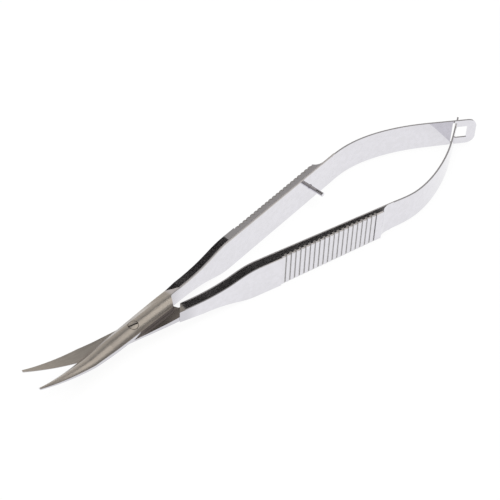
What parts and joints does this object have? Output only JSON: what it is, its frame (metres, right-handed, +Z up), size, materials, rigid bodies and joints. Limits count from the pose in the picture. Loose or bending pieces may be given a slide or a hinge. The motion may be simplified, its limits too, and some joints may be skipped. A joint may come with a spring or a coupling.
{
  "type": "spring-handled micro surgical scissors",
  "caption": "Spring-handled micro surgical scissors: crossed steel halves on a slotted screw, upward-curved blades, ribbed grips and leaf springs hooked together at the tail.",
  "frame": {"origin": "centre of the overall box in plan, at the lower edges of the handles, which rest on the table", "axes": "+X from the blade tips to the tail, +Y towards the front half's handle, +Z up, the side of the screw head and of the blades' upward curve"},
  "size_m": [0.1184, 0.0198, 0.009],
  "materials": {
    "forged_steel": "satin blades and joint, polished flat faces",
    "spring_steel": "polished",
    "screw_steel": "satin, ground flush",
    "pin_steel": "polished"
  },
  "bodies": {
    "rear_half": {"rear_half": "forged_steel", "pivot_screw": "screw_steel"},
    "front_half": {"front_half": "forged_steel", "stop_pin": "pin_steel"},
    "front_spring": {"front_spring_leaf": "spring_steel"},
    "rear_spring": {"rear_spring_leaf": "spring_steel"}
  },
  "joints": [
    {"name": "blade_pivot", "type": "hinge", "parent": "rear_half", "child": "front_half", "pos_m": [-0.03494, 0.00033, 0.0046], "axis": [0, 0, -1], "range_deg": [0, 12.7], "stiffness_Nm_per_rad": 0.3},
    {"name": "front_spring_flex", "type": "hinge", "parent": "front_half", "child": "front_spring", "pos_m": [0.02662, 0.00945, 0.0043], "axis": [0, 0, 1], "range_deg": [0, 20]},
    {"name": "rear_spring_flex", "type": "hinge", "parent": "rear_half", "child": "rear_spring", "pos_m": [0.02657, -0.00923, 0.0043], "axis": [0, 0, -1], "range_deg": [0, 20]}
  ],
  "couplings": [
    {"joint": "front_spring_flex", "follows": "blade_pivot", "ratio": 1.562},
    {"joint": "rear_spring_flex", "follows": "blade_pivot", "ratio": 1.562}
  ]
}
